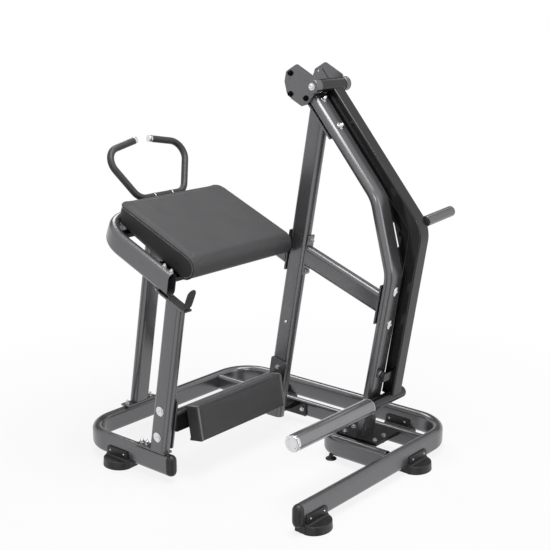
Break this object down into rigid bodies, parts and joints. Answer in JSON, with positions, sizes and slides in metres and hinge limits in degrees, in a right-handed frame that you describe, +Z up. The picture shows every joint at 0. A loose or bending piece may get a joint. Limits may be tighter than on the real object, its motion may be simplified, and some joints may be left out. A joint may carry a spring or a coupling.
{
  "type": "glute kickback machine",
  "caption": "Standing glute kickback machine: a padded support frame with a ring handle and a hanging kick arm with a roller.",
  "frame": {"origin": "on the floor, under the centre of the machine's bounding box", "axes": "+Z up, the user faces -X and kicks towards +X, +Y away from the open side of the base"},
  "size_m": [1.4242, 1.2542, 1.7735],
  "materials": {
    "frame_grey": "metallic grey powder coat, semi gloss",
    "satin_black": "satin black powder coat",
    "black_plastic": "moulded, fine grain",
    "vinyl": "grained upholstery vinyl over foam",
    "chrome": "polished",
    "rubber": "matt",
    "plywood": "raw birch plywood",
    "steel": "ground",
    "zinc": "bright zinc plate"
  },
  "bodies": {
    "frame": {"base_left_rail": "frame_grey", "base_right_rail": "frame_grey", "inner_rail": "frame_grey", "loop_rail": "frame_grey", "near_column": "frame_grey", "far_column": "frame_grey", "near_column_base_plate": "frame_grey", "far_column_base_plate": "frame_grey", "near_column_top_plate": "frame_grey", "far_column_top_plate": "frame_grey", "pad_frame_tube": "frame_grey", "tall_post": "frame_grey", "rear_post": "frame_grey", "beam": "frame_grey", "pad_frame_flange": "frame_grey", "beam_front_flange": "frame_grey", "beam_rear_flange": "frame_grey", "tall_post_top_flange": "frame_grey", "head_plate_near": "frame_grey", "head_plate_far": "frame_grey", "head_bracket": "frame_grey", "pivot_boss_near": "frame_grey", "pivot_boss_far": "frame_grey", "crossbar": "frame_grey", "tall_post_stub": "satin_black", "rear_post_base_plate": "satin_black", "rear_seat_plate": "satin_black", "rear_cross_member": "satin_black", "upper_pad_strap_front": "satin_black", "upper_pad_strap_rear": "satin_black", "handlebar_mount": "satin_black", "lower_pad_rail": "satin_black", "base_left_cap": "black_plastic", "base_right_cap": "black_plastic", "pad_frame_cap": "black_plastic", "foot_near_left": "black_plastic", "foot_right_near": "black_plastic", "foot_right_far": "black_plastic", "foot_far_right": "black_plastic", "foot_far_left": "black_plastic", "upper_pad": "vinyl", "lower_pad": "vinyl", "handlebar_cap_near": "chrome", "handlebar_cap_far": "chrome", "stop_washer": "chrome", "handlebar": "rubber", "stop_buffer": "rubber", "levelling_foot": "rubber", "upper_pad_board": "plywood", "pivot_shaft": "steel", "stop_bolt": "zinc"},
    "arm": {"kick_arm": "satin_black", "arm_bushing": "steel", "arm_gusset": "satin_black", "weight_horn": "frame_grey", "stop_strike_plate": "satin_black", "roller_carrier": "satin_black"},
    "roller": {"kick_roller": "frame_grey", "roller_inner_bush": "chrome", "roller_end_cap": "chrome"}
  },
  "joints": [
    {"name": "kick_arm_swing", "type": "hinge", "parent": "frame", "child": "arm", "pos_m": [0.11885, 0.32015, 1.682], "axis": [0, -1, 0], "range_deg": [0, 60]},
    {"name": "roller_spin", "type": "hinge", "parent": "arm", "child": "roller", "pos_m": [0.47235, -0.13085, 0.293], "axis": [0, 1, 0], "continuous": true}
  ]
}
